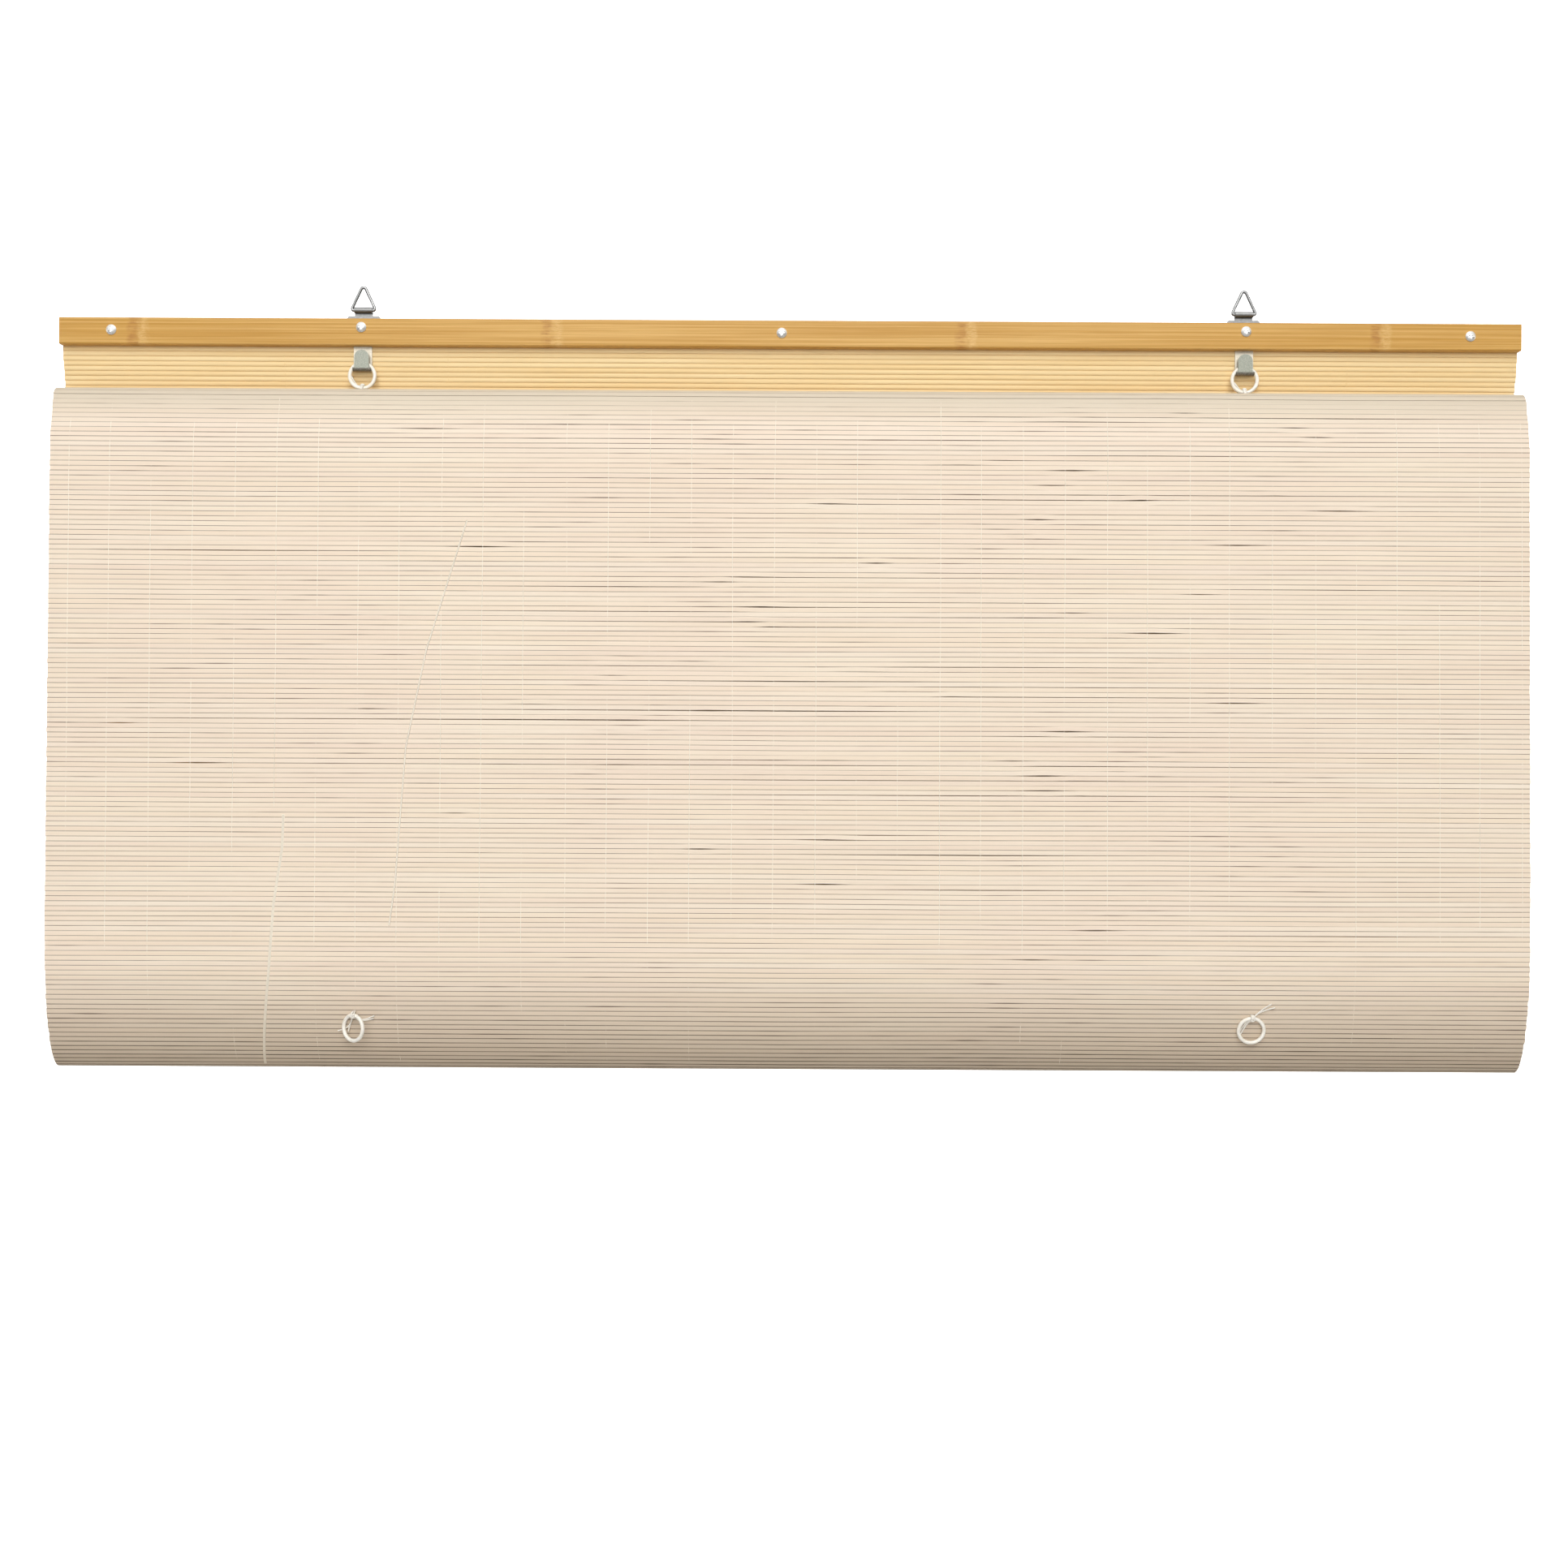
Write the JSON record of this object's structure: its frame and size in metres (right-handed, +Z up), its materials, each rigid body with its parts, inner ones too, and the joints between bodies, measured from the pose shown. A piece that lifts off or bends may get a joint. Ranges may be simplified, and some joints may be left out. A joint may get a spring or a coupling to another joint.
{
  "type": "bamboo blind",
  "caption": "Bamboo slat blind with a head rail, hung by triangle rings and folded up onto hooks under the rail by rings tied to the mat.",
  "frame": {"origin": "middle of the rear batten's flat back face", "axes": "+X along the rail, +Y out of the back face away from the room, +Z up"},
  "size_m": [1.2, 0.056, 0.6439],
  "materials": {
    "rail_bamboo": "clear satin",
    "mat_bamboo": "raw matte",
    "hanger_steel": "plated",
    "screw_steel": "bright plated",
    "ring_plastic": "satin",
    "thread": "twisted thread"
  },
  "bodies": {
    "blind": {"front_batten": "rail_bamboo", "rear_batten": "rail_bamboo", "bottom_lath": "rail_bamboo", "slat_mat": "mat_bamboo", "batten_screws": "screw_steel", "hanger_plate_left": "hanger_steel", "hanger_plate_right": "hanger_steel", "ring_hook_left": "hanger_steel", "ring_hook_right": "hanger_steel", "hooked_ring_left": "ring_plastic", "hooked_ring_right": "ring_plastic", "hooked_tie_left": "thread", "hooked_tie_right": "thread", "drop_tie_left": "thread", "drop_tie_right": "thread"},
    "triangle_left": {"hanger_triangle_left": "hanger_steel"},
    "triangle_right": {"hanger_triangle_right": "hanger_steel"},
    "ring_left": {"drop_ring_left": "ring_plastic"},
    "ring_right": {"drop_ring_right": "ring_plastic"}
  },
  "joints": [
    {"name": "triangle_left_swing", "type": "hinge", "parent": "blind", "child": "triangle_left", "pos_m": [-0.352, -0.00635, 0.0193], "axis": [1, 0, 0], "range_deg": [-100, 100]},
    {"name": "triangle_right_swing", "type": "hinge", "parent": "blind", "child": "triangle_right", "pos_m": [0.374, -0.00635, 0.0193], "axis": [1, 0, 0], "range_deg": [-100, 100]},
    {"name": "ring_left_lift", "type": "hinge", "parent": "blind", "child": "ring_left", "pos_m": [-0.35, -0.03654, -0.55776], "axis": [-0.866, 0.5, 0], "range_deg": [0, 150]},
    {"name": "ring_right_lift", "type": "hinge", "parent": "blind", "child": "ring_right", "pos_m": [0.376, -0.03379, -0.55725], "axis": [-1, 0, 0], "range_deg": [0, 150]}
  ]
}
